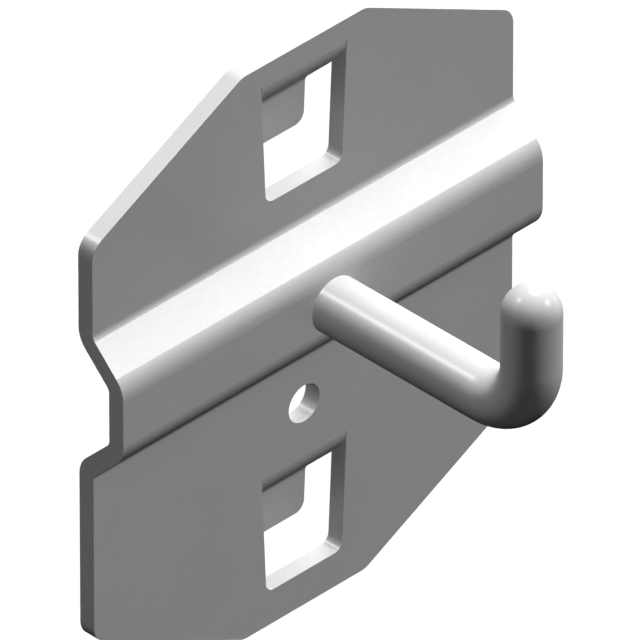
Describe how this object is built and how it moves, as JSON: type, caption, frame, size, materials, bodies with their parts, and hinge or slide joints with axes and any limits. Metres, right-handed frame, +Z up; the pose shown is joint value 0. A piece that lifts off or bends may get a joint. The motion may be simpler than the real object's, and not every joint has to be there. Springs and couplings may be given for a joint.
{
  "type": "single tool hook",
  "caption": "Pressed steel hook plate with a raised bead, joggled tongues for a perforated panel, and an upturned round bar to hang a tool on.",
  "frame": {"origin": "on the plate's back face, which lies on the panel, at the middle of the plate and midway between the two tongues", "axes": "+X to the right seen from the front, -Y out of the panel along the bar, +Z up along the upturned end"},
  "size_m": [0.0472, 0.0339, 0.0548],
  "materials": {
    "plate": "satin silver-grey coat on pressed steel",
    "bar": "satin silver-grey coat on round bar"
  },
  "bodies": {
    "root": {"mounting_plate": "plate", "hook_rod": "bar"}
  },
  "joints": []
}
